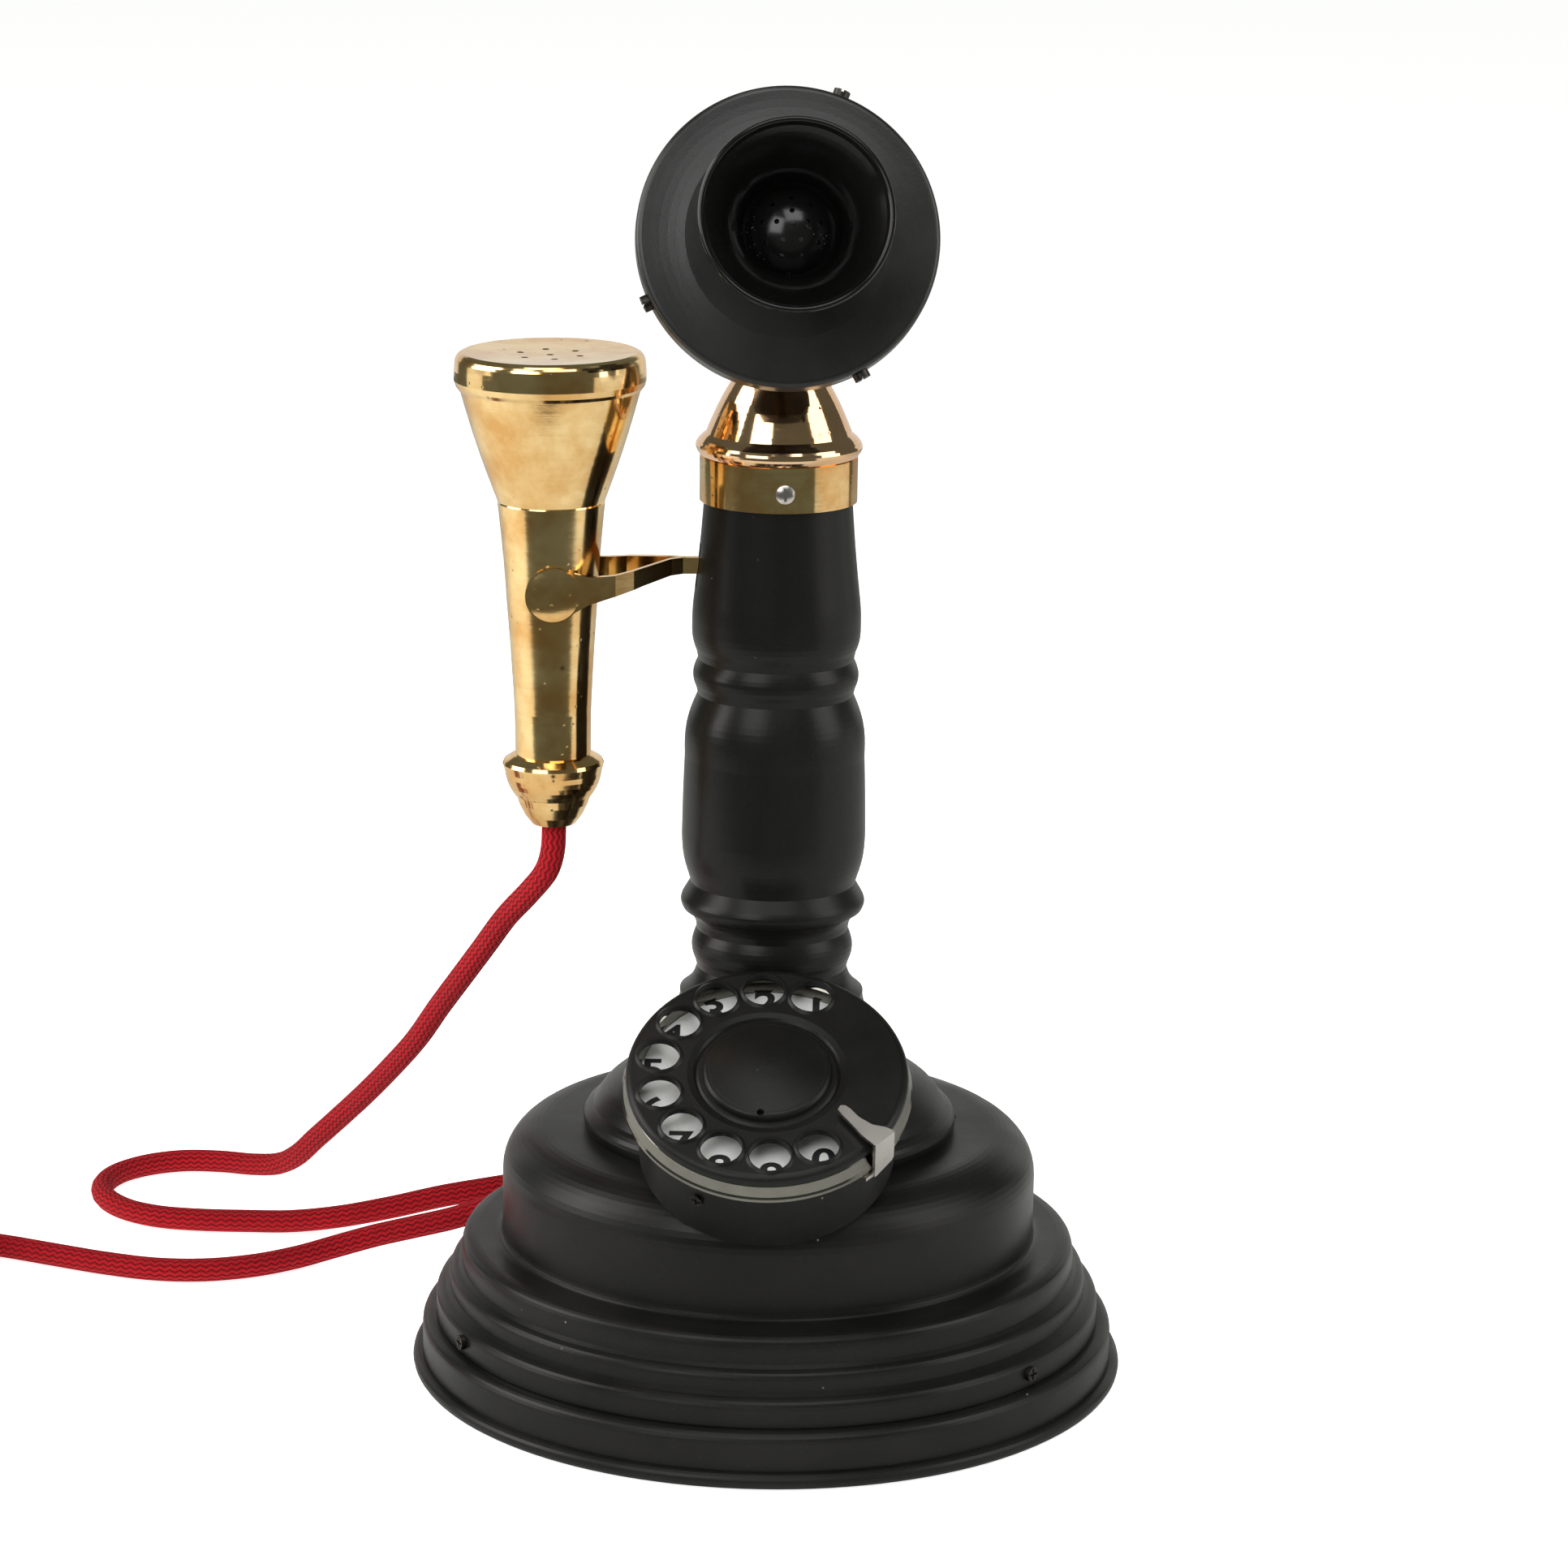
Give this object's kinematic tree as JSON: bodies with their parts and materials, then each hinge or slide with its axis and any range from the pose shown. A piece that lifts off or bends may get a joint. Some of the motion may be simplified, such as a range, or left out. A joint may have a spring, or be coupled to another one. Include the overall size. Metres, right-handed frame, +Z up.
{
  "type": "telephone",
  "caption": "Candlestick telephone with a rotary dial on a stepped round base, a tilting mouthpiece on a turned column and a bell-shaped receiver on a forked hook.",
  "frame": {"origin": "centre of the base's underside, on the surface it stands on", "axes": "+Z up along the column, the dial faces -Y, the receiver hangs on the -X side"},
  "size_m": [0.43, 0.2593, 0.3676],
  "materials": {
    "black_enamel": "satin black enamel over spun steel",
    "black_wood": "turned wood with a satin black lacquer",
    "brass": "polished brass with light tarnish",
    "works_brass": "plain stamped brass of the inner works",
    "nickel": "worn nickel plate",
    "steel": "plain steel",
    "number_enamel": "white enamel with black digits",
    "black_gloss": "glossy black moulding",
    "capsule_metal": "bare aluminium can",
    "coil_silk": "silk-covered winding",
    "fibre_board": "brown fibre board",
    "felt": "dark green felt",
    "rubber": "black rubber",
    "cord_braid": "red braided cloth"
  },
  "bodies": {
    "stand": {"base_tray": "black_enamel", "felt_pad": "felt", "bottom_plate": "steel", "bottom_screws": "steel", "base_shell": "black_enamel", "shell_screws": "black_enamel", "column_foot": "black_wood", "column": "black_wood", "tie_pipe": "works_brass", "pipe_nuts": "works_brass", "collar_band": "brass", "collar_screw": "brass", "neck_dome": "brass", "head_clevis": "brass", "tilt_pin": "steel", "dial_cup": "black_enamel", "cup_screws": "black_enamel", "dial_wedge": "black_enamel", "dial_bolt": "steel", "dial_bezel": "nickel", "number_plate": "number_enamel", "finger_stop": "nickel", "dial_frame": "works_brass", "spring_barrel": "works_brass", "pulse_contacts": "works_brass", "hook_pin": "steel", "hook_spring": "steel", "switch_stack": "fibre_board", "gongs": "works_brass", "ringer_frame": "steel", "ringer_coils": "coil_silk", "terminal_board": "fibre_board", "induction_coil": "coil_silk", "condenser": "capsule_metal", "cord_grommets": "rubber", "receiver_cord": "cord_braid", "line_cord": "cord_braid", "line_cord_coil": "cord_braid", "line_plug": "black_gloss"},
    "dial_wheel": {"finger_wheel": "black_enamel", "wheel_cap": "black_enamel", "dial_shaft": "steel", "dial_gear": "works_brass"},
    "governor": {"governor_pinion": "works_brass", "governor_rotor": "works_brass"},
    "transmitter": {"face_plate": "black_enamel", "face_screws": "black_enamel", "mouthpiece": "black_enamel", "grille": "black_gloss", "transmitter_housing": "black_enamel", "carbon_capsule": "capsule_metal"},
    "receiver": {"receiver_cap": "brass", "diaphragm": "steel", "receiver_bell": "brass", "receiver_barrel": "brass", "receiver_tail": "brass", "receiver_magnet": "steel", "receiver_coil": "coil_silk"},
    "hook": {"hook_lever": "brass"},
    "clapper": {"clapper": "steel"}
  },
  "joints": [
    {"name": "dial_turn", "type": "hinge", "parent": "stand", "child": "dial_wheel", "pos_m": [0, -0.065, 0.1056], "axis": [0, 0.509, -0.8607], "range_deg": [0, 320], "stiffness_Nm_per_rad": 0.012, "springref_deg": -45.84},
    {"name": "governor_spin", "type": "hinge", "parent": "stand", "child": "governor", "pos_m": [0, -0.08583, 0.09328], "axis": [0, 0.509, -0.8607], "range_deg": [-970, 10]},
    {"name": "transmitter_tilt", "type": "hinge", "parent": "stand", "child": "transmitter", "pos_m": [-0.00031, 0.00399, 0.302], "axis": [0.9971, 0.0767, 0], "range_deg": [-20, 20]},
    {"name": "receiver_lift", "type": "slide", "parent": "stand", "child": "receiver", "axis": [-0.5973, -0.0565, 0.8], "range_m": [0, 0.09]},
    {"name": "hook_rise", "type": "hinge", "parent": "stand", "child": "hook", "pos_m": [-0.00597, -0.00056, 0.232], "axis": [-0.0941, 0.9956, 0], "range_deg": [0, 8]},
    {"name": "clapper_swing", "type": "hinge", "parent": "stand", "child": "clapper", "pos_m": [0, 0, 0.017], "axis": [0, 0, 1], "range_deg": [-4, 4], "stiffness_Nm_per_rad": 0.003}
  ],
  "couplings": [
    {"joint": "governor_spin", "follows": "dial_turn", "ratio": -3},
    {"joint": "hook_rise", "follows": "receiver_lift", "rad_per_m": 1.5}
  ]
}
